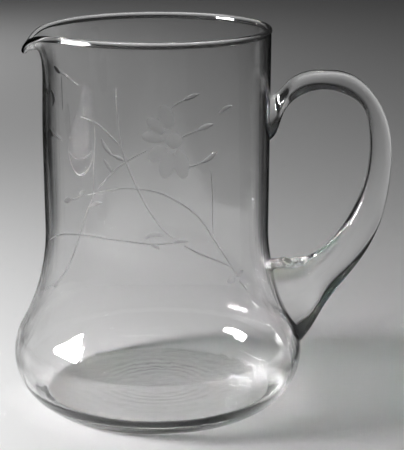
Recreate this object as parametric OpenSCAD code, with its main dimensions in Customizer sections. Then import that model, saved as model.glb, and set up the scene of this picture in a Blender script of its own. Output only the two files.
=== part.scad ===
// Glass cocktail pitcher: a blown vessel with a pulled pouring lip, and a handle drawn from a second gather.
// Millimetres. Z is up and the base rests on Z = 0. The lip points to -X and the handle to +X.

/* [Vessel] */
// Height of the rim above the resting face
rim_height = 200; // [185:1:220]
// Outer diameter of the wall at its waist
wall_diameter = 118; // [108:1:126]
// Thickness of the wall
wall_thickness = 2.4; // [1.8:0.1:3.2]
// How much farther out the wall stands at the rim than at its waist
wall_spread = 0.6; // [0:0.1:2]
// Outer diameter of the bulge at its widest
bulge_diameter = 154; // [146:1:162]
// Height of the widest part of the bulge
bulge_height = 26.8; // [25:0.2:29]
// Radius of the bulge's round side
bulge_radius = 30; // [28.6:0.2:33]
// Radius of the hollow curve from the bulge up to the wall
flare_radius = 108; // [80:1:116]
// Thickness of the base
base_thickness = 6; // [4:0.5:9]
// Radius of the corner between the inner floor and the side
floor_corner_radius = 10; // [6:0.5:13]
// How much thicker the rounded rim is than the wall
rim_swell = 0.8; // [0.4:0.1:1.6]

/* [Pouring lip] */
// How far the lip reaches out past the wall
lip_reach = 9.2; // [6:0.2:12]
// How far the tip of the lip hangs below the rim
lip_drop = 10.8; // [7:0.2:13]
// Height of the bent part of the wall under the rim
lip_depth = 60; // [50:1:64]
// Half of the angle round the vessel that the lip takes up
lip_half_angle = 56; // [44:1:66]
// Angle through which the wall turns over at the tip
lip_curl = 117; // [85:1:124]

/* [Handle] */
// Reach of the handle's outer edge past the wall
handle_reach = 64; // [56:1:72]
// Distance of the handle's crown below the rim
handle_crown_drop = 22.6; // [20:0.2:34]
// Height of the foot of the handle above the resting face
handle_foot_height = 29; // [26:1:32]
// Half width of the rod across the crown, where it is slimmest
handle_half_width = 6; // [5:0.1:7]
// Share of the drawn thickness that the rod keeps, 1 is the usual rod
handle_stoutness = 1; // [0.85:0.05:1.15]
// Depth that the handle's ends run on into the wall before they are trimmed to it
handle_bury = 3; // [2:0.1:4]

/* [Hidden] */
$fn = 96;

wall_radius = wall_diameter / 2;
bead_radius = (wall_thickness + rim_swell) / 2;
lip_start = rim_height - lip_depth;

// The lip's glass is thinner than the wall by this step on each side, and runs on into the wall round its border
seam_step = 0.05;
seam_depth = 1.5;
seam_angle = 1.5;

// Centres of the bulge's arc and of the hollow curve, which touch each other
bulge_centre = [bulge_diameter / 2 - bulge_radius, bulge_height];
arc_gap = bulge_radius + flare_radius;
flare_out = wall_radius + flare_radius - bulge_centre[0];
flare_centre = [wall_radius + flare_radius, bulge_height + sqrt(pow(arc_gap, 2) - pow(flare_out, 2))];
meet_direction = (flare_centre - bulge_centre) / arc_gap;

// Rounded corner between the floor and the inside of the bulge
inner_bulge_radius = bulge_radius - wall_thickness;
corner_drop = bulge_height - base_thickness - floor_corner_radius;
corner_out = sqrt(pow(inner_bulge_radius - floor_corner_radius, 2) - pow(corner_drop, 2));
corner_centre = bulge_centre + [corner_out, -corner_drop];
corner_meet = bulge_centre + inner_bulge_radius * [corner_out, -corner_drop] / (inner_bulge_radius - floor_corner_radius);

// Outer radius of the vessel at a height
function meet_height() = bulge_centre[1] + bulge_radius * meet_direction[1];
function bulge_r(z) = bulge_centre[0] + sqrt(pow(bulge_radius, 2) - pow(z - bulge_height, 2));
function flare_r(z) = flare_centre[0] - sqrt(pow(flare_radius, 2) - pow(flare_centre[1] - z, 2));
function wall_r(z) = wall_radius + wall_spread * (z - flare_centre[1]) / (rim_height - flare_centre[1]);
function outer_r(z) = z < meet_height() ? bulge_r(z) : z < flare_centre[1] ? flare_r(z) : wall_r(z);

// Middle of the wall where the lip starts to bend, and of the rounded rim
lip_foot = [wall_r(lip_start) - wall_thickness / 2, lip_start];
bead_centre = [wall_r(rim_height - bead_radius) - wall_thickness / 2, rim_height - bead_radius];

// Half section from the axis out to a line that runs a set distance inside the outer surface.
// Its areas overlap towards the axis, so that no film is left where one ends and the next begins.
module bulge_and_wall(inset, low, high) {
    side_radius = bulge_radius - inset;
    meet = bulge_centre + side_radius * meet_direction;
    intersection() {
        union() {
            translate(bulge_centre)
                circle(r = side_radius);
            square([bulge_centre[0], meet[1]]);
        }
        translate([0, low])
            square([bulge_diameter, meet[1] - low]);
    }
    difference() {
        polygon([[0, bulge_height], meet, flare_centre, [0, flare_centre[1]]]);
        translate(flare_centre)
            circle(r = flare_radius + inset);
    }
    polygon([[0, bulge_height], [wall_radius - inset, flare_centre[1]], [wall_r(high) - inset, high], [0, high]]);
}

// Half section of the outer form, filled up to a height
module outer_area(high) {
    bulge_and_wall(0, 0, high);
}

// Half section of the hollow
module inner_area() {
    bulge_and_wall(wall_thickness, corner_meet[1], rim_height);
    intersection() {
        translate(corner_centre)
            circle(r = floor_corner_radius);
        translate([0, base_thickness])
            square([bulge_diameter, corner_meet[1] - base_thickness]);
    }
    polygon([[0, base_thickness], [corner_centre[0], base_thickness], corner_centre, corner_meet, [0, bulge_height]]);
}

// Half section of the base, the wall and the rounded rim
module glass_section() {
    difference() {
        outer_area(rim_height - bead_radius);
        inner_area();
    }
    translate(bead_centre)
        circle(r = bead_radius);
}

// Cubic curve through two end points, with two points that steer it, and its direction
function curve(p, t) = pow(1 - t, 3) * p[0] + 3 * t * pow(1 - t, 2) * p[1] + 3 * t * t * (1 - t) * p[2] + pow(t, 3) * p[3];
function slope(p, t) = pow(1 - t, 2) * (p[1] - p[0]) + 2 * t * (1 - t) * (p[2] - p[1]) + t * t * (p[3] - p[2]);
function unit(v) = v / norm(v);

// Share of the lip's pull at an angle from its middle: 1 at the tip, 0 where it leaves the round rim
function lip_pull(a) = pow((1 + cos(180 * min(1, abs(a) / lip_half_angle))) / 2, 1.7);
function lip_fall(a) = 0.72 * pow(lip_pull(a), 5) + 0.28 * lip_pull(a);

// Steering points for the middle of the bent wall in the upright plane at an angle from the lip's middle
wall_line = bead_centre - lip_foot;
wall_lean = atan2(wall_line[0], wall_line[1]);
function lip_line(a) = let (
    pull = lip_pull(a),
    top = bead_centre + [lip_reach * pull, -lip_drop * lip_fall(a)],
    turn = wall_lean + lip_curl * pull,
    third = norm(wall_line) / 3
) [
    lip_foot,
    lip_foot + wall_line / 3 * (1 + 1.05 * pull),
    top - third * (0.3 + 0.53 * pow(pull, 3)) * [sin(turn), cos(turn)],
    top
];

// Closed section of the lip at an angle: up the outside, round the rim, down the inside
lip_rows = 18;
bead_rows = 13;
lip_half = wall_thickness / 2 - seam_step;
lip_bead = bead_radius - seam_step;
bead_back = sqrt(pow(lip_bead, 2) - pow(lip_half, 2));
bead_turn = atan2(bead_back, lip_half);
function lip_section(a) = let (
    p = lip_line(a),
    last = 1 - bead_back / (3 * norm(p[3] - p[2])),
    steps = [for (i = [0:lip_rows]) last * i / lip_rows],
    up = unit(slope(p, 1)),
    out = [up[1], -up[0]]
) concat(
    [p[0] + [lip_half, -seam_depth]],
    [for (t = steps) let (u = unit(slope(p, t))) curve(p, t) + lip_half * [u[1], -u[0]]],
    [for (i = [1:bead_rows - 1])
        let (w = -bead_turn + (180 + 2 * bead_turn) * i / bead_rows)
        p[3] + lip_bead * (cos(w) * out + sin(w) * up)],
    [for (i = [0:lip_rows])
        let (t = steps[lip_rows - i], u = unit(slope(p, t)))
        curve(p, t) - lip_half * [u[1], -u[0]]],
    [p[0] + [-lip_half, -seam_depth]]
);

// Faces that close a stack of rings, each ring with the same even number of points
function skin(rings, points) = let (top = (rings - 1) * points) concat(
    [for (j = [0:points / 2 - 2]) [j, j + 1, points - 2 - j, points - 1 - j]],
    [for (j = [0:points / 2 - 2]) [top + points - 1 - j, top + points - 2 - j, top + j + 1, top + j]],
    [for (i = [0:rings - 2], j = [0:points - 1])
        let (k = (j + 1) % points, low = i * points, high = (i + 1) * points)
        [low + j, high + j, high + k, low + k]]
);

// Part of the wall and rim that is pulled out into the lip, with closer sections towards the tip
lip_steps = 48;
module pouring_lip() {
    shares = [for (i = [0:lip_steps]) 1 - 2 * i / lip_steps];
    angles = [for (s = shares) (lip_half_angle + seam_angle) * s * (0.45 + 0.55 * abs(s))];
    count = len(lip_section(0));
    polyhedron(
        [for (a = angles, p = lip_section(a)) [-p[0] * cos(a), -p[0] * sin(a), p[1]]],
        skin(lip_steps + 1, count),
        10
    );
}

// Room cut out of the round wall for the lip
module lip_room() {
    rotate([0, 0, 180 - lip_half_angle])
        rotate_extrude(angle = 2 * lip_half_angle)
            translate([wall_radius / 2, lip_start])
                square([wall_radius, lip_depth + 1]);
}

module vessel() {
    color([0.86, 0.9, 0.9, 0.4]) {
        difference() {
            rotate_extrude()
                glass_section();
            lip_room();
        }
        pouring_lip();
    }
}

// Stations along the handle from the pressed upper end to the gob at its foot. Each is the inner edge and the
// outer edge as [share of the reach, share of the height], and the half width as a share of the crown's.
crown_height = rim_height - handle_crown_drop;
handle_height = crown_height - handle_foot_height;
stations = [
    [[0.035, 0.765], [0.04, 0.913], 1.5],
    [[0.12, 0.858], [0.165, 0.966], 1.37],
    [[0.277, 0.919], [0.305, 0.994], 1.17],
    [[0.438, 0.933], [0.45, 0.998], 1.05],
    [[0.617, 0.915], [0.645, 0.986], 1],
    [[0.758, 0.867], [0.853, 0.91], 1],
    [[0.818, 0.772], [0.978, 0.786], 1.03],
    [[0.806, 0.634], [0.995, 0.627], 1.1],
    [[0.727, 0.524], [0.943, 0.486], 1.2],
    [[0.594, 0.42], [0.817, 0.355], 1.37],
    [[0.42, 0.342], [0.632, 0.24], 1.63],
    [[0.235, 0.318], [0.468, 0.138], 1.9],
    [[0.09, 0.316], [0.352, 0.048], 2.03]
];
handle_sides = 24;
handle_rings = 66;

function height_at(share) = handle_foot_height + handle_height * share;
function edge_point(s) = [wall_radius + handle_reach * s[0], height_at(s[1])];
function middle(s) = (edge_point(s[0]) + edge_point(s[1])) / 2;
function half_span(s) = (edge_point(s[1]) - edge_point(s[0])) / 2;
function under_wall(share) = let (z = height_at(share)) [outer_r(z) - handle_bury, z];

// Both ends run on under the wall's surface: the inner edge, the outer edge and the half width, as shares
upper_end = [under_wall(0.738), under_wall(0.889), 1.4];
lower_end = [under_wall(0.312), under_wall(-0.017), 2.03];

// Every station as a middle, a half span and a half width
rod_half_width = handle_stoutness * handle_half_width;
full = [for (s = stations) [middle(s), handle_stoutness * half_span(s), rod_half_width * s[2]]];
function ended(e) = [(e[0] + e[1]) / 2, (e[1] - e[0]) / 2, rod_half_width * e[2]];
line = concat([ended(upper_end)], full, [ended(lower_end)]);

// Smooth run through four neighbouring values
function blend(a, b, c, d, t) = b + 0.5 * t * (c - a + t * (2 * a - 5 * b + 4 * c - d + t * (3 * (b - c) + d - a)));
function pick(i) = line[max(0, min(len(line) - 1, i))];
function along(u, k) = let (i = min(floor(u), len(line) - 2), t = u - i)
    blend(pick(i - 1)[k], pick(i)[k], pick(i + 1)[k], pick(i + 2)[k], t);

function ring(u) = let (m = along(u, 0), s = along(u, 1), w = along(u, 2))
    [for (j = [0:handle_sides - 1])
        let (a = 360 * j / handle_sides)
        [m[0] + s[0] * cos(a), w * sin(a), m[1] + s[1] * cos(a)]];

module handle() {
    color([0.84, 0.88, 0.88, 0.45])
        difference() {
            polyhedron(
                [for (i = [0:handle_rings], p = ring((len(line) - 1) * i / handle_rings)) p],
                skin(handle_rings + 1, handle_sides),
                10
            );
            rotate_extrude()
                outer_area(rim_height);
        }
}

vessel();
handle();
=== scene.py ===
import math

import bpy
import numpy as np
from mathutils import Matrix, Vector


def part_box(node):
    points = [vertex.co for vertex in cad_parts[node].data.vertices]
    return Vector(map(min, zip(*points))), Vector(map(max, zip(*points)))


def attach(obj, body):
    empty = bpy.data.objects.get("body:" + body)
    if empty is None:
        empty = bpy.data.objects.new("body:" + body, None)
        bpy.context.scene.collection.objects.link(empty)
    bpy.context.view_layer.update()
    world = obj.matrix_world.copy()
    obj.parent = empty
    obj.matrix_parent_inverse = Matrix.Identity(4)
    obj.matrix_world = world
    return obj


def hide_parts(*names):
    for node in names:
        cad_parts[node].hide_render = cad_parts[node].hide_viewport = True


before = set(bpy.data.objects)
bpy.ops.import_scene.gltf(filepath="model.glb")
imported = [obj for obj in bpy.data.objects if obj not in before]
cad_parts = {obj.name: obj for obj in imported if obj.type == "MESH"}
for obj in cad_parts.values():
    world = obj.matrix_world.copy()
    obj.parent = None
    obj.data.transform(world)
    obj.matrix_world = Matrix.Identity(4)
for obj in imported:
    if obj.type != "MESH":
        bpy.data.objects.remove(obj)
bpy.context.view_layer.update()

# Looks of a blown-glass cocktail pitcher: the vessel and its drawn handle as smooth clear glass, on a pale
# floor. Lengths are millimetres until a mesh is made. Z is up, the lip points to -X and the handle to +X.
MM = 0.001

# Angle between two faces from which on their border stays sharp, in degrees
SHARP_ANGLE = 60

# Vessel: the height and the bulge come from the frame
VESSEL_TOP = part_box("vessel")[1]
RIM_HEIGHT = round(VESSEL_TOP.z / MM, 1)
BULGE_OUT = round(VESSEL_TOP.y / MM, 1)
WALL_RADIUS = 59.0
WALL_THICKNESS = 2.4
WALL_SPREAD = 0.6
BULGE_HEIGHT = 26.8
BULGE_RADIUS = 30.0
FLARE_RADIUS = 108.0
BASE_THICKNESS = 6.0
CORNER_RADIUS = 16.0
HEEL_RADIUS = 4.0
BEAD_RADIUS = 1.6

# Mesh of the vessel: columns round the axis, points on each stretch of its half section, and the distance
# from the axis of the last ring on the base and on the floor
COLUMNS = 288
BASE_POINTS = 14
HEEL_POINTS = 10
BULGE_POINTS = 40
FLARE_POINTS = 40
WALL_POINTS = 40
SIDE_POINTS = 36
CORNER_POINTS = 16
FLOOR_POINTS = 150
BASE_MIDDLE = 4.0
FLOOR_MIDDLE = 0.5

# Pouring lip
LIP_REACH = 9.2
LIP_DROP = 10.8
LIP_START = RIM_HEIGHT - 60.0
LIP_HALF_ANGLE = 56.0
LIP_CURL = 117.0
LIP_ROWS = 64
BEAD_ROWS = 28

# How the lip's pull gathers towards its middle: the power of the pull, the share of the drop that only the
# tip has and the power of that share, and the added length of the bend's lower and upper lead, where a
# third of the wall is 1
LIP_GATHER = 1.7
TIP_SHARE = 0.72
TIP_GATHER = 5
THROAT_LEAD = 1.05
RIM_LEAD = 0.3
TIP_LEAD = 0.53
TIP_LEAD_GATHER = 3

# Faint traces of the making: rings on the floor, and an uneven inner wall
FLOOR_RING_STEP = 5.5
FLOOR_RING_DEPTH = 0.035
FLOOR_RING_REACH = 54.0
FLOOR_RING_DRIFT = 1.3
FLOOR_RING_DRIFT_STEP = 4.1
WAVE_DEPTH = 0.06
STREAK_DEPTH = 0.006
UNEVEN_FADE = 20.0

# Broad waves and fine upright streaks of the inner wall: the strength, how many go round the axis, the
# climb in which they wind by a radian, and where they start
WAVES = [(1.0, 2, 31, 0.4), (0.7, 3, -19, 1.9), (0.5, 5, 43, 4.1)]
STREAKS = [(1.0, 23, math.inf, 0.7), (1.0, 37, math.inf, 2.3), (1.0, 58, 90, 5.2)]

# Centres of the round stretches of the half section, as distance from the axis and height
BULGE_CENTRE = np.array([BULGE_OUT - BULGE_RADIUS, BULGE_HEIGHT])
ARC_GAP = BULGE_RADIUS + FLARE_RADIUS
FLARE_OUT = WALL_RADIUS + FLARE_RADIUS
FLARE_HEIGHT = BULGE_HEIGHT + math.sqrt(ARC_GAP**2 - (FLARE_OUT - BULGE_CENTRE[0]) ** 2)
FLARE_CENTRE = np.array([FLARE_OUT, FLARE_HEIGHT])
MEET_TURN = math.degrees(math.atan2(FLARE_HEIGHT - BULGE_HEIGHT, FLARE_OUT - BULGE_CENTRE[0]))
MEET_HEIGHT = BULGE_HEIGHT + BULGE_RADIUS * math.sin(math.radians(MEET_TURN))

# Handle: the stations are the inner and the outer edge as shares of its reach and height, the half width,
# and how square the rod's section is, where 2 is an ellipse
HANDLE_REACH = 64.0
HANDLE_CROWN = RIM_HEIGHT - 22.6
HANDLE_FOOT = 29.0
HANDLE_BURY = 3.0
HANDLE_OVERLAP = 0.3
HANDLE_SIDES = 96
HANDLE_ROWS = 260
HANDLE_STEPS = 4001
CAP_ROWS = 10
HANDLE_STATIONS = [
    [(0.035, 0.765), (0.04, 0.913), 9, 2.2],
    [(0.12, 0.858), (0.165, 0.966), 8.2, 2.4],
    [(0.277, 0.919), (0.305, 0.994), 7, 3.0],
    [(0.438, 0.933), (0.45, 0.998), 6.3, 3.5],
    [(0.617, 0.915), (0.645, 0.986), 6, 3.5],
    [(0.758, 0.867), (0.853, 0.91), 6, 3.5],
    [(0.818, 0.772), (0.978, 0.786), 6.2, 3.5],
    [(0.806, 0.634), (0.995, 0.627), 6.6, 3.5],
    [(0.727, 0.524), (0.943, 0.486), 7.2, 3.4],
    [(0.594, 0.42), (0.817, 0.355), 8.2, 3.0],
    [(0.42, 0.342), (0.632, 0.24), 9.8, 2.3],
    [(0.235, 0.318), (0.468, 0.138), 11.4, 2.0],
    [(0.09, 0.316), (0.352, 0.048), 13.6, 2.0],
]

# Ends of the handle under the wall: the upper one lies lower than the first station by a drop on its inner
# and on its outer edge. The lower one has a share of the height on its inner edge and a drop below the
# foot on its outer edge. The half width and the squareness follow.
UPPER_END = (4.0, 3.5, 8.4, 2.2)
LOWER_END = (0.312, 2.5, 13.2, 2.0)

# Ripples on the ledge on top of the handle's broad foot, over a length from the wall
LEDGE_RIPPLE_DEPTH = 0.55
LEDGE_RIPPLE_STEP = 7.5
LEDGE_RIPPLE_END = 27.0

# Cut flowers on the front of the wall: a lens-shaped strip lies in the surface along each stroke. The
# strokes are runs of places in the photograph's frame, which the camera's view carries onto the wall.
PICTURE = (404, 450)
CUT_LIFT = 0.03
CUT_SINK = 0.004
CUT_STEPS = 6
CUT_LINES = 7
CUT_TIP = 0.03
STEM_WIDTH = 0.75
STEMS = {
    "arch": [(87.5, 195), (103.3, 191.3), (123.3, 188.3), (140, 189.2), (156.7, 192), (173.3, 199.2),
             (188.3, 208.3), (201.7, 220.8), (213.3, 238.3), (223.3, 253.3), (232.5, 268.3), (236.7, 275)],
    "tall": [(42.5, 291), (48.5, 287.5), (55, 284), (65.8, 270.8), (73.3, 255), (78.3, 240), (83.3, 223.3),
             (87.5, 210), (92, 200), (93.3, 173.3), (94.7, 145), (94.3, 126.7)],
    "long": [(115.8, 88.3), (116.3, 106.7), (118.3, 123.3), (120.8, 143.3), (124.2, 156.7), (130, 171.7),
             (138.3, 190), (146.7, 206.7), (156.7, 221.7), (165, 231.7), (175, 239.2)],
    "to_flower": [(98.3, 188.3), (108.3, 176.7), (120, 165.8), (133.3, 157.5), (146.7, 150.8)],
    "upper_left": [(80.8, 116.7), (90, 120), (100, 125.8), (110, 135), (120, 145.8)],
    "low": [(50, 240), (58.3, 235), (71.7, 234.2), (90, 235.8), (110, 239.2), (130, 241.7), (150, 244.2),
            (173.3, 243)],
    "low_right": [(184.2, 245.8), (196.7, 252.5), (213.3, 259.2), (230, 266.2)],
    "upright": [(210.8, 168), (212.2, 185), (212.5, 206.7), (213.3, 236.7)],
    "bud_stalk": [(70.8, 200), (75, 198.8), (80, 196.7), (85, 195.5)],
    "tail": [(239.2, 280), (243, 285), (246.7, 290)],
    "petal_rim": [(67.5, 147), (70, 160), (74, 170), (80, 175), (87, 171), (92, 161), (93.5, 150)],
    "petal_fold": [(69.5, 152), (74, 157), (80.5, 158.5), (87, 156.5), (91.5, 151)],
    "side_stalk": [(52, 132), (56.5, 136.5), (61.7, 140)],
    "leaf_stalk_high": [(172, 108), (175, 105), (183.3, 100.8)],
    "leaf_stalk_right": [(181, 138), (188, 134.5), (196.7, 130.8)],
    "leaf_stalk_low": [(183, 168), (190, 167), (200, 163.3)],
}

# Leaves and pale buds: the foot, a place half way and the tip, and the width in millimetres
LEAVES = [
    [(90, 207), (95.5, 203.8), (101.7, 202.5), 2.2],
    [(144.2, 239.5), (153, 234.5), (164, 236), 2.6],
    [(173.3, 242.8), (181, 241), (188.3, 241.5), 2.0],
    [(151, 244.5), (155.5, 246.2), (159.5, 249), 1.4],
    [(183.3, 100.8), (190.5, 97), (199.5, 94), 2.4],
    [(218.3, 114.2), (224.5, 108.8), (231.7, 105.8), 2.4],
    [(196.7, 130.8), (204.5, 127), (213.5, 124), 2.8],
    [(200, 163.3), (209, 158.5), (217.5, 151.5), 2.6],
    [(101, 138.5), (106, 148), (113, 156), 2.2],
    [(112, 155), (118, 157.5), (124, 161), 2.0],
    [(103, 159), (108, 165.5), (112, 173), 2.0],
    [(80, 196.5), (81.5, 193), (84.5, 190.5), 2.0],
    [(64, 201), (67.5, 200), (71, 199.5), 3.0],
    [(54, 287), (56, 284.5), (58.5, 283), 1.8],
    [(227.5, 282), (231.2, 280), (235, 278), 3.6],
    [(236.5, 276.5), (239.8, 273), (243, 270.5), 2.8],
]

# Buds on the lip's side, whose dark look is painted shade on clear glass: the same
BUDS = [
    [(54, 66), (56.5, 69.5), (60, 73), 2.2],
    [(46, 88), (46.8, 91), (48, 95), 1.6],
    [(51, 90), (53.5, 98), (52.5, 106), 2.4],
    [(50, 128.5), (51, 132.5), (53, 136.5), 2.2],
]

# Petals of the right and the left flower, wide and shallow: the same
RIGHT_PETALS = [
    [(170.5, 128), (166, 116), (162.5, 105), 7.5],
    [(164, 133), (155.5, 126), (148, 118), 6.0],
    [(163, 140), (152.5, 137), (142, 136), 6.0],
    [(165, 147), (157.5, 153.5), (150, 160), 7.0],
    [(170, 152), (167, 165), (164.5, 178), 7.5],
    [(178, 150), (181.5, 164), (184, 178), 7.5],
    [(166, 140.5), (174, 141), (182, 141.5), 8.0],
]
LEFT_PETALS = [
    [(81, 116), (79.5, 147), (79.5, 176), 15.0],
    [(82, 108), (80.5, 135), (80, 159), 11.0],
    [(87.5, 119), (86, 102), (86.5, 84), 7.0],
    [(70, 141), (67.5, 122), (67, 103), 4.5],
    [(62.5, 110), (61.5, 93), (61, 76), 1.6],
    [(58, 71), (68, 77), (77, 84), 1.0],
]

# Glass: how many cords there are to a metre along each axis, the tones they drift between, and their skin
GLASS_IOR = 1.5
GLASS_TONES = (0.989, 0.999)
VESSEL_CORDS = (160, 160, 5)
HANDLE_CORDS = (60, 160, 60)
CORD_DETAIL = 2.0
SKIN_STRENGTH = 0.3
SKIN_DEPTH = 0.0003

# Painted shade on upright glass that turns edge on, for its dark outline: where it starts and is full,
# and its shade. The side towards the lip has more of it by the lean, which sets in over a stretch along X,
# in metres; on the handle this is painted shade on its inner side.
PAINTED_EDGE_START = 0.5
PAINTED_EDGE_FULL = 0.8
PAINTED_EDGE_DARK = 0.02
VESSEL_PAINTED_LEAN = 0.0
HANDLE_PAINTED_LEAN = 0.4
PAINTED_LEAN_START = 0.07
PAINTED_LEAN_FULL = 0.085

# Ground glass of the cuts, and the painted dark shade of the buds
CUT_SHADE = 0.975
BUD_PAINTED_DARK = 0.08
GRAIN_FINENESS = 2500.0
GRAIN_SPREAD = 0.12

# Camera at the photograph's viewing angle, in metres and degrees
CAMERA_PLACE = (0.0238, -0.8234, 0.3121)
CAMERA_TILT = 75.191
CAMERA_LENS = 128.4
CAMERA_SENSOR = 36.0

# Sight lines from the camera that find a pixel's place on the wall: the reach over which they are
# followed, in metres, in how many steps, and how often the lip's pull is worked in
SIGHT_REACH = (0.7, 0.9)
SIGHT_STEPS = 4001
SIGHT_ROUNDS = 6

# Floor and light, in metres and watts
FLOOR_RADIUS = 8.0
FLOOR_SIDES = 128
FLOOR_DROP = 0.0002
FLOOR_SHADE = 0.8
FLOOR_ROUGHNESS = 0.9
FLOOR_GLOSS = 0.1
WORLD_SHADE = 0.02
KEY_PLACE = (-0.7, -0.135, 0.34)
KEY_AIM = (0.0, 0.0, 0.06)
KEY_SIZE = (0.32, 0.115)
KEY_POWER = 10.35
FLAG_PLACE = (-0.9, -0.05, 0.17)
FLAG_SIZE = (0.8, 1.3)
FAR_PLACE = (-0.62, 1.15, 0.3)
FAR_AIM = (-0.25, 1.1, 0.0)
FAR_SIZE = (0.6, 0.6)
FAR_POWER = 1.6
OVERHEAD_PLACE = (0.05, 0.25, 1.5)
OVERHEAD_SIZE = (2.0, 1.0)
OVERHEAD_POWER = 12.0

# Dark cards that lie on the floor and show in reflections alone, where they give the glass its dark
# outline. Each row is a place along Y, the card's inner border there, and the width over which it fades
# in.
CARD_LIFT = 0.0001
CARD_WIDTH = 1.2
CARD_STEPS = 14
LEFT_ROWS = [(-0.5, -0.7, 0.6), (-0.02, -0.09, 0.08), (0.5, -0.11, 0.05), (1.9, -0.18, 0.2)]
RIGHT_ROWS = [(0.0, 0.1, 0.02), (0.5, 0.12, 0.05), (1.9, 0.2, 0.2)]


def outer_radius(z):
    """Distance from the axis to the vessel's outer surface at a height."""
    z = np.asarray(z, float)
    bulge = BULGE_CENTRE[0] + np.sqrt(np.maximum(BULGE_RADIUS**2 - (z - BULGE_HEIGHT) ** 2, 0))
    flare = FLARE_CENTRE[0] - np.sqrt(np.maximum(FLARE_RADIUS**2 - (FLARE_HEIGHT - z) ** 2, 0))
    wall = WALL_RADIUS + WALL_SPREAD * (z - FLARE_HEIGHT) / (RIM_HEIGHT - FLARE_HEIGHT)
    return np.where(z < MEET_HEIGHT, bulge, np.where(z < FLARE_HEIGHT, flare, wall))


def arc(centre, radius, start, end, count):
    """Points of a half section on an arc between two angles, in degrees from straight out towards up."""
    turn = np.radians(np.linspace(start, end, count))
    return np.column_stack([centre[0] + radius * np.cos(turn), centre[1] + radius * np.sin(turn)])


def line(start, end, count):
    """Points of a half section on a straight stretch."""
    return np.linspace(start, end, count)


def outer_section():
    """Half section from the middle of the base out and up to where the lip starts to bend."""
    heel_turn = math.degrees(math.asin((HEEL_RADIUS - BULGE_HEIGHT) / (BULGE_RADIUS - HEEL_RADIUS)))
    heel_out = (BULGE_RADIUS - HEEL_RADIUS) * math.cos(math.radians(heel_turn))
    heel = (BULGE_CENTRE[0] + heel_out, HEEL_RADIUS)
    return np.vstack([
        line((BASE_MIDDLE, 0), (heel[0], 0), BASE_POINTS)[:-1],
        arc(heel, HEEL_RADIUS, -90, heel_turn, HEEL_POINTS)[:-1],
        arc(BULGE_CENTRE, BULGE_RADIUS, heel_turn, MEET_TURN, BULGE_POINTS)[:-1],
        arc(FLARE_CENTRE, FLARE_RADIUS, 180 + MEET_TURN, 180, FLARE_POINTS)[:-1],
        line((WALL_RADIUS, FLARE_HEIGHT), (outer_radius(LIP_START), LIP_START), WALL_POINTS)[:-1],
    ])


def floor_section(start):
    """Half section of the inner floor with its faint rings, from a distance in to the middle."""
    points = line((start, BASE_THICKNESS), (FLOOR_MIDDLE, BASE_THICKNESS), FLOOR_POINTS)
    out = points[:, 0]
    fade = np.sin(np.pi * np.clip(out / FLOOR_RING_REACH, 0, 1)) ** 2
    turns = 2 * np.pi * out / FLOOR_RING_STEP + FLOOR_RING_DRIFT * np.sin(out / FLOOR_RING_DRIFT_STEP)
    points[:, 1] += FLOOR_RING_DEPTH * fade * np.cos(turns)
    return points


def inner_section():
    """Half section from where the lip starts down the inside and in to the middle of the floor."""
    side_radius = BULGE_RADIUS - WALL_THICKNESS
    corner_drop = BULGE_HEIGHT - BASE_THICKNESS - CORNER_RADIUS
    corner_turn = -math.degrees(math.asin(corner_drop / (side_radius - CORNER_RADIUS)))
    corner_out = (side_radius - CORNER_RADIUS) * math.cos(math.radians(corner_turn))
    corner = (BULGE_CENTRE[0] + corner_out, BASE_THICKNESS + CORNER_RADIUS)
    top = (outer_radius(LIP_START) - WALL_THICKNESS, LIP_START)
    return np.vstack([
        line(top, (WALL_RADIUS - WALL_THICKNESS, FLARE_HEIGHT), WALL_POINTS)[1:],
        arc(FLARE_CENTRE, FLARE_RADIUS + WALL_THICKNESS, 180, 180 + MEET_TURN, FLARE_POINTS)[1:],
        arc(BULGE_CENTRE, side_radius, MEET_TURN, corner_turn, SIDE_POINTS)[1:],
        arc(corner, CORNER_RADIUS, corner_turn, -90, CORNER_POINTS)[1:],
        floor_section(corner[0])[1:],
    ])


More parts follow.
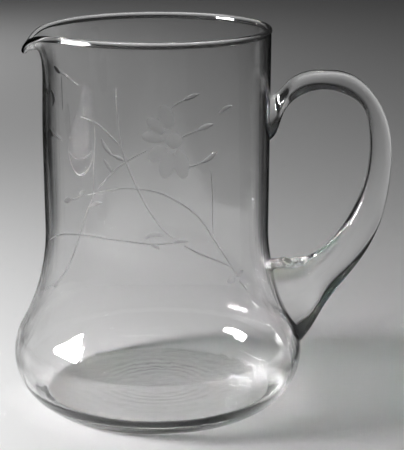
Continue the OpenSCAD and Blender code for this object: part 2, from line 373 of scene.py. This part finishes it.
def lip_rows(angle):
    """Rows of the half section from the start of the lip up the outside, round the rim and down the inside.
    The angle is measured from the middle of the lip, in degrees, with one entry for each column."""
    pull = ((1 + np.cos(np.pi * np.minimum(1, np.abs(angle) / LIP_HALF_ANGLE))) / 2) ** LIP_GATHER
    fall = TIP_SHARE * pull**TIP_GATHER + (1 - TIP_SHARE) * pull
    foot = np.array([outer_radius(LIP_START) - WALL_THICKNESS / 2, LIP_START])
    bead_height = RIM_HEIGHT - BEAD_RADIUS
    bead = np.array([outer_radius(bead_height) - WALL_THICKNESS / 2, bead_height])
    wall = bead - foot
    length = np.linalg.norm(wall)
    top = bead + np.column_stack([LIP_REACH * pull, -LIP_DROP * fall])
    turn = math.atan2(wall[0], wall[1]) + np.radians(LIP_CURL) * pull
    back = np.column_stack([np.sin(turn), np.cos(turn)])
    first = np.repeat(foot[None], len(angle), 0)
    second = foot + np.outer(1 + THROAT_LEAD * pull, wall / 3)
    third = top - (length / 3 * (RIM_LEAD + TIP_LEAD * pull**TIP_LEAD_GATHER))[:, None] * back

    def middle(t):
        return (
            (1 - t) ** 3 * first
            + 3 * t * (1 - t) ** 2 * second
            + 3 * t**2 * (1 - t) * third
            + t**3 * top
        )

    def heading(t):
        way = (1 - t) ** 2 * (second - first) + 2 * t * (1 - t) * (third - second) + t**2 * (top - third)
        return way / np.linalg.norm(way, axis=1)[:, None]

    def aside(way):
        return np.column_stack([way[:, 1], -way[:, 0]])

    half = WALL_THICKNESS / 2
    bead_back = math.sqrt(BEAD_RADIUS**2 - half**2)
    last = (1 - bead_back / (3 * np.linalg.norm(top - third, axis=1)))[:, None]
    shares = np.linspace(0, 1, LIP_ROWS)
    outside = [middle(last * s) + half * aside(heading(last * s)) for s in shares]
    inside = [middle(last * s) - half * aside(heading(last * s)) for s in shares[::-1]]
    up = heading(np.ones_like(last))
    bead_turn = math.atan2(bead_back, half)
    turns = np.linspace(-bead_turn, math.pi + bead_turn, BEAD_ROWS + 2)[1:-1]
    rim = [top + BEAD_RADIUS * (math.cos(w) * aside(up) + math.sin(w) * up) for w in turns]
    return np.array(outside + rim + inside)


def unevenness(turn, z):
    """Small inward and outward drift of the inner wall: broad waves, and fine upright streaks."""

    def total(ripples):
        return sum(size * np.sin(count * turn + z / climb + start) for size, count, climb, start in ripples)

    return WAVE_DEPTH * total(WAVES) + STREAK_DEPTH * total(STREAKS)


def shell(rows, first_pole, last_pole):
    """Points and outward faces of a closed skin on rows that each run round, with one point that closes
    each end."""
    count, columns, _ = rows.shape
    points = np.vstack([rows.reshape(-1, 3), first_pole, last_pole]) * MM
    start = np.arange(columns)
    after = (start + 1) % columns
    ring = np.column_stack([start, after, columns + after, columns + start])
    quads = np.vstack([i * columns + ring for i in range(count - 1)])
    top = (count - 1) * columns
    first = np.column_stack([np.full(columns, count * columns), after, start])
    last = np.column_stack([np.full(columns, count * columns + 1), top + start, top + after])
    corners = np.vstack([quads[:, [0, 1, 2]], quads[:, [0, 2, 3]], first, last])
    a, b, c = (points[corners[:, k]] for k in range(3))
    inside_out = np.einsum("ij,ij->", a, np.cross(b, c)) < 0
    faces = quads.tolist() + first.tolist() + last.tolist()
    return points, [face[::-1] if inside_out else face for face in faces]


def smooth_piece(name, shells):
    """One object from closed skins, smooth apart from their sharp borders."""
    points, faces, count = [], [], 0
    for skin_points, skin_faces in shells:
        points.extend(skin_points.tolist())
        faces.extend([[count + i for i in face] for face in skin_faces])
        count += len(skin_points)
    mesh = bpy.data.meshes.new(name)
    mesh.from_pydata(points, [], faces)
    mesh.shade_smooth()
    mesh.set_sharp_from_angle(angle=math.radians(SHARP_ANGLE))
    piece = bpy.data.objects.new(name, mesh)
    bpy.context.scene.collection.objects.link(piece)
    return piece


def vessel():
    """Blown vessel: its half section turned round the axis, with the lip pulled out of the rim."""
    turn = np.linspace(0, 2 * np.pi, COLUMNS, endpoint=False)
    from_lip = (np.degrees(turn) % 360) - 180
    below = np.repeat(outer_section()[:, None], COLUMNS, 1)
    inside = np.repeat(inner_section()[:, None], COLUMNS, 1)
    height = inside[..., 1]
    over_floor = np.clip((height - BASE_THICKNESS - CORNER_RADIUS) / UNEVEN_FADE, 0, 1)
    under_lip = np.clip((LIP_START - height) / UNEVEN_FADE, 0, 1)
    inside[..., 0] += unevenness(turn, height) * over_floor * under_lip
    section = np.concatenate([below, lip_rows(from_lip), inside])
    out, up = section[..., 0], section[..., 1]
    rows = np.stack([out * np.cos(turn), out * np.sin(turn), up], axis=-1)
    return smooth_piece("pitcher_vessel", [shell(rows, (0, 0, 0), (0, 0, BASE_THICKNESS))])


def handle_line():
    """Middle, half span, half width and squareness at stations along the handle, from under the wall at
    the top to under it at the foot."""
    height = HANDLE_CROWN - HANDLE_FOOT

    def edge(share):
        return np.array([WALL_RADIUS + HANDLE_REACH * share[0], HANDLE_FOOT + height * share[1]])

    def under_wall(z):
        return np.array([outer_radius(z) - HANDLE_BURY, z])

    edges = [(edge(inner), edge(outer), *rest) for inner, outer, *rest in HANDLE_STATIONS]
    first_inner, first_outer = edges[0][:2]
    inner_drop, outer_drop, *rest = UPPER_END
    upper = (under_wall(first_inner[1] - inner_drop), under_wall(first_outer[1] - outer_drop), *rest)
    inner_share, outer_drop, *rest = LOWER_END
    lower = (under_wall(HANDLE_FOOT + height * inner_share), under_wall(HANDLE_FOOT - outer_drop), *rest)
    return np.array([
        [*(inner + outer) / 2, *(outer - inner) / 2, *rest] for inner, outer, *rest in [upper, *edges, lower]
    ])


def smooth_run(stations, count):
    """Even steps along the smoothest curve through a list of stations."""
    gaps = np.linalg.norm(np.diff(stations[:, :2], axis=0), axis=1)
    places = np.concatenate([[0], np.cumsum(gaps)])
    slopes = np.diff(stations, axis=0) / gaps[:, None]
    system = np.eye(len(stations))
    change = np.zeros_like(stations)
    for i in range(1, len(stations) - 1):
        system[i, i - 1:i + 2] = gaps[i - 1], 2 * (gaps[i - 1] + gaps[i]), gaps[i]
        change[i] = 6 * (slopes[i] - slopes[i - 1])
    bend = np.linalg.solve(system, change)
    at = np.linspace(0, places[-1], count)
    i = np.clip(np.searchsorted(places, at, side="right") - 1, 0, len(gaps) - 1)
    gap = gaps[i][:, None]
    a = (places[i + 1] - at)[:, None] / gap
    b = 1 - a
    straight = a * stations[i] + b * stations[i + 1]
    return straight + ((a**3 - a) * bend[i] + (b**3 - b) * bend[i + 1]) * gap**2 / 6


def cap_rows(ring):
    """Rows that close a ring which lies just under the wall's outer surface, on that same surface."""
    turn = np.arctan2(ring[:, 1], ring[:, 0])
    height = ring[:, 2]
    rows = []
    for share in np.linspace(1, 0, CAP_ROWS + 1)[1:]:
        t = turn.mean() + share * (turn - turn.mean())
        z = height.mean() + share * (height - height.mean())
        r = outer_radius(z) - HANDLE_OVERLAP
        rows.append(np.column_stack([r * np.cos(t), r * np.sin(t), z]))
    return rows[:-1], rows[-1][0]


def ledge_ripple(middle, span):
    """Rise and fall of the handle's inner edge near its foot, as a share of the half span."""
    steps = np.linalg.norm(np.diff(middle - span, axis=0), axis=1)
    from_foot = np.append(np.cumsum(steps[::-1])[::-1], 0)
    window = np.sin(np.pi * np.clip(from_foot / LEDGE_RIPPLE_END, 0, 1)) ** 2
    ripple = LEDGE_RIPPLE_DEPTH * window * np.sin(2 * np.pi * from_foot / LEDGE_RIPPLE_STEP)
    return ripple / np.linalg.norm(span, axis=1)


def handle():
    """Drawn handle: lines along its rod, each one cut off where it goes under the wall, and a cap at both
    ends."""
    fine = np.linspace(0, 1, HANDLE_STEPS)
    run = smooth_run(handle_line(), len(fine))
    middle, span, half_width, squareness = run[:, :2], run[:, 2:4], run[:, 4], run[:, 5]
    ripple = ledge_ripple(middle, span)
    lines = []
    for a in np.linspace(0, 2 * np.pi, HANDLE_SIDES, endpoint=False):
        outward = np.copysign(abs(math.cos(a)) ** (2 / squareness), math.cos(a))
        sideways = np.copysign(abs(math.sin(a)) ** (2 / squareness), math.sin(a))
        outward = outward - ripple * max(0, -math.cos(a)) ** 2
        x = middle[:, 0] + span[:, 0] * outward
        y = half_width * sideways
        z = middle[:, 1] + span[:, 1] * outward
        proud = np.hypot(x, y) - outer_radius(z) + HANDLE_OVERLAP
        out = np.flatnonzero(proud > 0)
        i, j = out[0], out[-1]
        start = fine[i] - (fine[1] - fine[0]) * proud[i] / (proud[i] - proud[i - 1])
        end = fine[j] + (fine[1] - fine[0]) * proud[j] / (proud[j] - proud[j + 1])
        u = np.linspace(start, end, HANDLE_ROWS)
        lines.append(np.column_stack([np.interp(u, fine, v) for v in (x, y, z)]))
    rows = np.array(lines).transpose(1, 0, 2)
    upper, upper_pole = cap_rows(rows[0])
    lower, lower_pole = cap_rows(rows[-1])
    rows = np.concatenate([upper[::-1], rows, lower])
    return smooth_piece("pitcher_handle", [shell(rows, upper_pole, lower_pole)])


def wall_radius(turn, z):
    """Distance from the axis to the outer surface at angles and heights, with the lip's pull."""
    radius = outer_radius(z)
    angle = (np.degrees(turn) % 360) - 180
    pulled = np.flatnonzero((z > LIP_START) & (np.abs(angle) < LIP_HALF_ANGLE))
    if len(pulled):
        rows = lip_rows(angle[pulled])[:LIP_ROWS]
        radius[pulled] = [np.interp(z[i], rows[:, k, 1], rows[:, k, 0]) for k, i in enumerate(pulled)]
    return radius


def on_wall(pixels):
    """Angle round the axis and height of each place on the front of the wall that the camera sees at a
    pixel."""
    pixels = np.asarray(pixels, float)
    tilt = math.radians(CAMERA_TILT)
    focal = CAMERA_LENS / CAMERA_SENSOR * max(PICTURE)
    across = (pixels[:, 0] - PICTURE[0] / 2) / focal
    above = (PICTURE[1] / 2 - pixels[:, 1]) / focal
    way = np.column_stack([
        across,
        math.sin(tilt) + above * math.cos(tilt),
        -math.cos(tilt) + above * math.sin(tilt),
    ])
    reach = np.linspace(*SIGHT_REACH, SIGHT_STEPS)
    trail = (np.array(CAMERA_PLACE) + reach[:, None, None] * way) / MM
    plain = np.hypot(trail[..., 0], trail[..., 1]) - outer_radius(trail[..., 2])
    pulled = 0
    for _ in range(SIGHT_ROUNDS):
        first = np.argmax(plain < pulled, axis=0)
        place = trail[first, np.arange(len(pixels))]
        turn, z = np.arctan2(place[:, 1], place[:, 0]), place[:, 2]
        pulled = wall_radius(turn, z) - outer_radius(z)
    return turn, z


def strokes(rows):
    """Runs and widths of leaves, buds or petals."""
    return [(row[:3], row[3]) for row in rows]


def cut(pixels, width, bluntness, depth):
    """Closed lens-shaped strip in the wall's surface along a smooth run through pixels, narrow at both
    ends."""
    angle, height = on_wall(pixels)
    flat = np.column_stack([angle * WALL_RADIUS, height])
    run = smooth_run(flat, CUT_STEPS * (len(flat) - 1) + 1)
    way = np.gradient(run, axis=0)
    way /= np.linalg.norm(way, axis=1)[:, None]
    side = np.column_stack([way[:, 1], -way[:, 0]])
    half = width / 2 * np.sin(np.pi * np.linspace(CUT_TIP, 1 - CUT_TIP, len(run))) ** bluntness
    top = [(k, CUT_LIFT * (1 - k**2) - CUT_SINK) for k in np.linspace(-1, 1, CUT_LINES)]
    bottom = [(k, -depth * (1 - k**2) - CUT_SINK) for k in np.linspace(1, -1, CUT_LINES)[1:-1]]
    lines = []
    for share, lift in top + bottom:
        place = run + side * (half * share)[:, None]
        turn, z = place[:, 0] / WALL_RADIUS, place[:, 1]
        r = wall_radius(turn, z) + lift
        lines.append(np.column_stack([r * np.cos(turn), r * np.sin(turn), z]))
    rows = np.stack(lines, axis=1)
    return shell(rows, rows[0].mean(axis=0), rows[-1].mean(axis=0))


def painted_edge_shade(tree, place, lean):
    """Painted shade where upright glass turns edge on, for a dark outline, and sooner on its side towards
    the lip by the lean."""
    nodes, links = tree.nodes, tree.links
    facing = nodes.new("ShaderNodeLayerWeight")
    split = nodes.new("ShaderNodeSeparateXYZ")
    level, upright, slant, leaning = (nodes.new("ShaderNodeMath") for _ in range(4))
    level.operation = "ABSOLUTE"
    upright.operation = "SUBTRACT"
    upright.inputs[0].default_value = 1.0
    slant.operation = "MULTIPLY"
    leaning.operation = "MULTIPLY_ADD"
    spot = nodes.new("ShaderNodeSeparateXYZ")
    outward = nodes.new("ShaderNodeMapRange")
    outward.inputs["From Min"].default_value = PAINTED_LEAN_START
    outward.inputs["From Max"].default_value = PAINTED_LEAN_FULL
    outward.inputs["To Max"].default_value = -lean
    edge = nodes.new("ShaderNodeMapRange")
    edge.interpolation_type = "SMOOTHSTEP"
    edge.inputs["From Min"].default_value = PAINTED_EDGE_START
    edge.inputs["From Max"].default_value = PAINTED_EDGE_FULL
    edge.inputs["To Min"].default_value = 1.0
    edge.inputs["To Max"].default_value = PAINTED_EDGE_DARK
    links.new(place.outputs["Normal"], split.inputs["Vector"])
    links.new(split.outputs["Z"], level.inputs[0])
    links.new(level.outputs["Value"], upright.inputs[1])
    links.new(facing.outputs["Facing"], slant.inputs[0])
    links.new(upright.outputs["Value"], slant.inputs[1])
    links.new(place.outputs["Object"], spot.inputs["Vector"])
    links.new(spot.outputs["X"], outward.inputs["Value"])
    links.new(split.outputs["X"], leaning.inputs[0])
    links.new(outward.outputs["Result"], leaning.inputs[1])
    links.new(slant.outputs["Value"], leaning.inputs[2])
    links.new(leaning.outputs["Value"], edge.inputs["Value"])
    return edge.outputs["Result"]


def clear_shader(name):
    """New material of clear glass, its node tree and its shader."""
    material = bpy.data.materials.new(name)
    material.use_nodes = True
    shader = material.node_tree.nodes["Principled BSDF"]
    shader.inputs["IOR"].default_value = GLASS_IOR
    shader.inputs["Transmission Weight"].default_value = 1.0
    return material, material.node_tree, shader


def glass(name, cords, lean):
    """Clear colourless glass with a fire-polished surface. Faint cords in its tone and on its skin run as
    the glass was drawn, and painted shade darkens it edge on."""
    material, tree, shader = clear_shader(name)
    nodes, links = tree.nodes, tree.links
    shader.inputs["Roughness"].default_value = 0.0
    place = nodes.new("ShaderNodeTexCoord")
    stretch = nodes.new("ShaderNodeMapping")
    stretch.inputs["Scale"].default_value = cords
    drift = nodes.new("ShaderNodeTexNoise")
    drift.inputs["Scale"].default_value = 1.0
    drift.inputs["Detail"].default_value = CORD_DETAIL
    tone = nodes.new("ShaderNodeMapRange")
    tone.inputs["To Min"].default_value, tone.inputs["To Max"].default_value = GLASS_TONES
    tone_and_painted_edge_shade = nodes.new("ShaderNodeMath")
    tone_and_painted_edge_shade.operation = "MULTIPLY"
    skin = nodes.new("ShaderNodeBump")
    skin.inputs["Strength"].default_value = SKIN_STRENGTH
    skin.inputs["Distance"].default_value = SKIN_DEPTH
    links.new(place.outputs["Object"], stretch.inputs["Vector"])
    links.new(stretch.outputs["Vector"], drift.inputs["Vector"])
    links.new(drift.outputs["Fac"], tone.inputs["Value"])
    links.new(tone.outputs["Result"], tone_and_painted_edge_shade.inputs[0])
    # Painted shade where the glass turns edge on darkens its random tone
    links.new(painted_edge_shade(tree, place, lean), tone_and_painted_edge_shade.inputs[1])
    links.new(tone_and_painted_edge_shade.outputs["Value"], shader.inputs["Base Color"])
    links.new(drift.outputs["Fac"], skin.inputs["Height"])
    links.new(skin.outputs["Normal"], shader.inputs["Normal"])
    return material


def cut_glass(name, roughness, shade):
    """Ground surface of a shallow cut: the same glass, left matt by the wheel, in a given tone, which for
    the buds is painted dark shade.
    """
    material, tree, shader = clear_shader(name)
    shader.inputs["Base Color"].default_value = (shade, shade, shade, 1)
    grain = tree.nodes.new("ShaderNodeTexNoise")
    grain.inputs["Scale"].default_value = GRAIN_FINENESS
    spread = tree.nodes.new("ShaderNodeMapRange")
    spread.inputs["To Min"].default_value = (1 - GRAIN_SPREAD) * roughness
    spread.inputs["To Max"].default_value = (1 + GRAIN_SPREAD) * roughness
    tree.links.new(grain.outputs["Fac"], spread.inputs["Value"])
    tree.links.new(spread.outputs["Result"], shader.inputs["Roughness"])
    return material


def floor():
    """Large pale disc just under the vessel."""
    bpy.ops.mesh.primitive_circle_add(
        vertices=FLOOR_SIDES, radius=FLOOR_RADIUS, fill_type="NGON", location=(0, 0, -FLOOR_DROP)
    )
    disc = bpy.context.object
    disc.name = "floor"
    material = bpy.data.materials.new("pale_floor")
    material.use_nodes = True
    shader = material.node_tree.nodes["Principled BSDF"]
    shader.inputs["Base Color"].default_value = (FLOOR_SHADE, FLOOR_SHADE, FLOOR_SHADE, 1)
    shader.inputs["Roughness"].default_value = FLOOR_ROUGHNESS
    shader.inputs["Specular IOR Level"].default_value = FLOOR_GLOSS
    disc.data.materials.append(material)


def soft_lamp(name, place, aim, size, power):
    """Rectangular soft light that points at a place."""
    data = bpy.data.lights.new(name, "AREA")
    data.shape = "RECTANGLE"
    data.size, data.size_y = size
    data.energy = power
    lamp = bpy.data.objects.new(name, data)
    lamp.location = place
    lamp.rotation_euler = (Vector(aim) - Vector(place)).to_track_quat("-Z", "Y").to_euler()
    lamp.visible_camera = False
    bpy.context.scene.collection.objects.link(lamp)
    return lamp


def dark_fade(name):
    """Black without gloss that fades with the shade kept on a mesh's points."""
    material = bpy.data.materials.new(name)
    material.use_nodes = True
    nodes, links = material.node_tree.nodes, material.node_tree.links
    shader = nodes["Principled BSDF"]
    shader.inputs["Base Color"].default_value = (0, 0, 0, 1)
    shader.inputs["Specular IOR Level"].default_value = 0.0
    fading = nodes.new("ShaderNodeAttribute")
    fading.attribute_name = "shade"
    links.new(fading.outputs["Fac"], shader.inputs["Alpha"])
    return material


def card(name, rows, side):
    """Dark card on the floor that fades in over its inner border and that only reflections show."""
    steps = np.append(np.linspace(0, 1, CARD_STEPS), 1)
    fade = steps**2 * (3 - 2 * steps)
    points, shades = [], []
    for y, border, softness in rows:
        reach = side * np.append(steps[:-1] * softness, CARD_WIDTH)
        points.extend([(border + x, y, CARD_LIFT) for x in reach])
        shades.extend(fade)
    count = len(steps)
    mesh = bpy.data.meshes.new(name)
    strips = [row * count + k for row in range(len(rows) - 1) for k in range(count - 1)]
    mesh.from_pydata(points, [], [(k, k + 1, k + count + 1, k + count) for k in strips])
    mesh.attributes.new("shade", "FLOAT", "POINT").data.foreach_set("value", shades)
    mesh.materials.append(dark_fade(name))
    board = bpy.data.objects.new(name, mesh)
    bpy.context.scene.collection.objects.link(board)
    board.visible_shadow = False
    board.visible_camera = False
    board.visible_diffuse = False
    board.visible_transmission = False


def flag():
    """Board under the key lamp that keeps its light off the floor beside the lamp. Nothing but its shadow
    shows."""
    bpy.ops.mesh.primitive_plane_add(size=1, location=FLAG_PLACE)
    board = bpy.context.object
    board.name = "flag"
    board.scale = (*FLAG_SIZE, 1)
    board.visible_camera = False
    board.visible_diffuse = False
    board.visible_glossy = False
    board.visible_transmission = False


def light():
    """Key lamp on the lip's side, a lamp for the floor far behind, an overhead lamp for gloss, and a dim
    room."""
    soft_lamp("key", KEY_PLACE, KEY_AIM, KEY_SIZE, KEY_POWER)
    far = soft_lamp("far_floor", FAR_PLACE, FAR_AIM, FAR_SIZE, FAR_POWER)
    far.visible_glossy = False
    far.visible_transmission = False
    overhead = soft_lamp("overhead", OVERHEAD_PLACE, KEY_AIM, OVERHEAD_SIZE, OVERHEAD_POWER)
    overhead.visible_diffuse = False
    overhead.visible_transmission = False
    world = bpy.data.worlds.new("studio")
    world.use_nodes = True
    background = world.node_tree.nodes["Background"]
    background.inputs["Color"].default_value = (WORLD_SHADE, WORLD_SHADE, WORLD_SHADE, 1)
    bpy.context.scene.world = world


def camera():
    """Camera that sees the pitcher as the photograph does."""
    data = bpy.data.cameras.new("camera")
    data.lens = CAMERA_LENS
    data.sensor_width = CAMERA_SENSOR
    eye = bpy.data.objects.new("camera", data)
    eye.location = CAMERA_PLACE
    eye.rotation_euler = (math.radians(CAMERA_TILT), 0, 0)
    bpy.context.scene.collection.objects.link(eye)
    bpy.context.scene.camera = eye


def render_settings():
    """Enough bounces for clear glass behind glass, with the light that glass gathers kept."""
    scene = bpy.context.scene
    scene.view_settings.view_transform = "Standard"
    scene.cycles.max_bounces = 32
    scene.cycles.transmission_bounces = 32
    scene.cycles.glossy_bounces = 16
    scene.cycles.diffuse_bounces = 4
    scene.cycles.sample_clamp_indirect = 0
    scene.cycles.blur_glossy = 0
    scene.cycles.caustics_refractive = True
    scene.cycles.caustics_reflective = True


camera()
floor()
flag()
card("left_card", LEFT_ROWS, -1)
card("right_card", RIGHT_ROWS, 1)
light()
render_settings()

vessel_piece = vessel()
vessel_piece.data.materials.append(glass("vessel_glass", VESSEL_CORDS, VESSEL_PAINTED_LEAN))
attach(vessel_piece, "root")
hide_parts("vessel")

handle_piece = handle()
handle_piece.data.materials.append(glass("handle_glass", HANDLE_CORDS, HANDLE_PAINTED_LEAN))
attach(handle_piece, "root")
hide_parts("handle")

# Each cut piece has its strokes, the bluntness of their ends, their depth, and the glass's roughness and
# shade
CUT_PIECES = {
    "cut_stems": ([(run, STEM_WIDTH) for run in STEMS.values()], 0.35, 0.12, 0.4, CUT_SHADE),
    "cut_leaves": (strokes(LEAVES), 0.9, 0.12, 0.34, CUT_SHADE),
    # The buds' dark tone is painted shade
    "cut_buds": (strokes(BUDS), 0.6, 0.12, 0.3, BUD_PAINTED_DARK),
    "cut_right_petals": (strokes(RIGHT_PETALS), 0.55, 0.05, 0.3, CUT_SHADE),
    "cut_left_petals": (strokes(LEFT_PETALS), 0.45, 0.05, 0.2, CUT_SHADE),
}
for piece_name, (runs, bluntness, depth, roughness, shade) in CUT_PIECES.items():
    cut_piece = smooth_piece(piece_name, [cut(run, width, bluntness, depth) for run, width in runs])
    cut_piece.data.materials.append(cut_glass(piece_name + "_glass", roughness, shade))
    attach(cut_piece, "root")
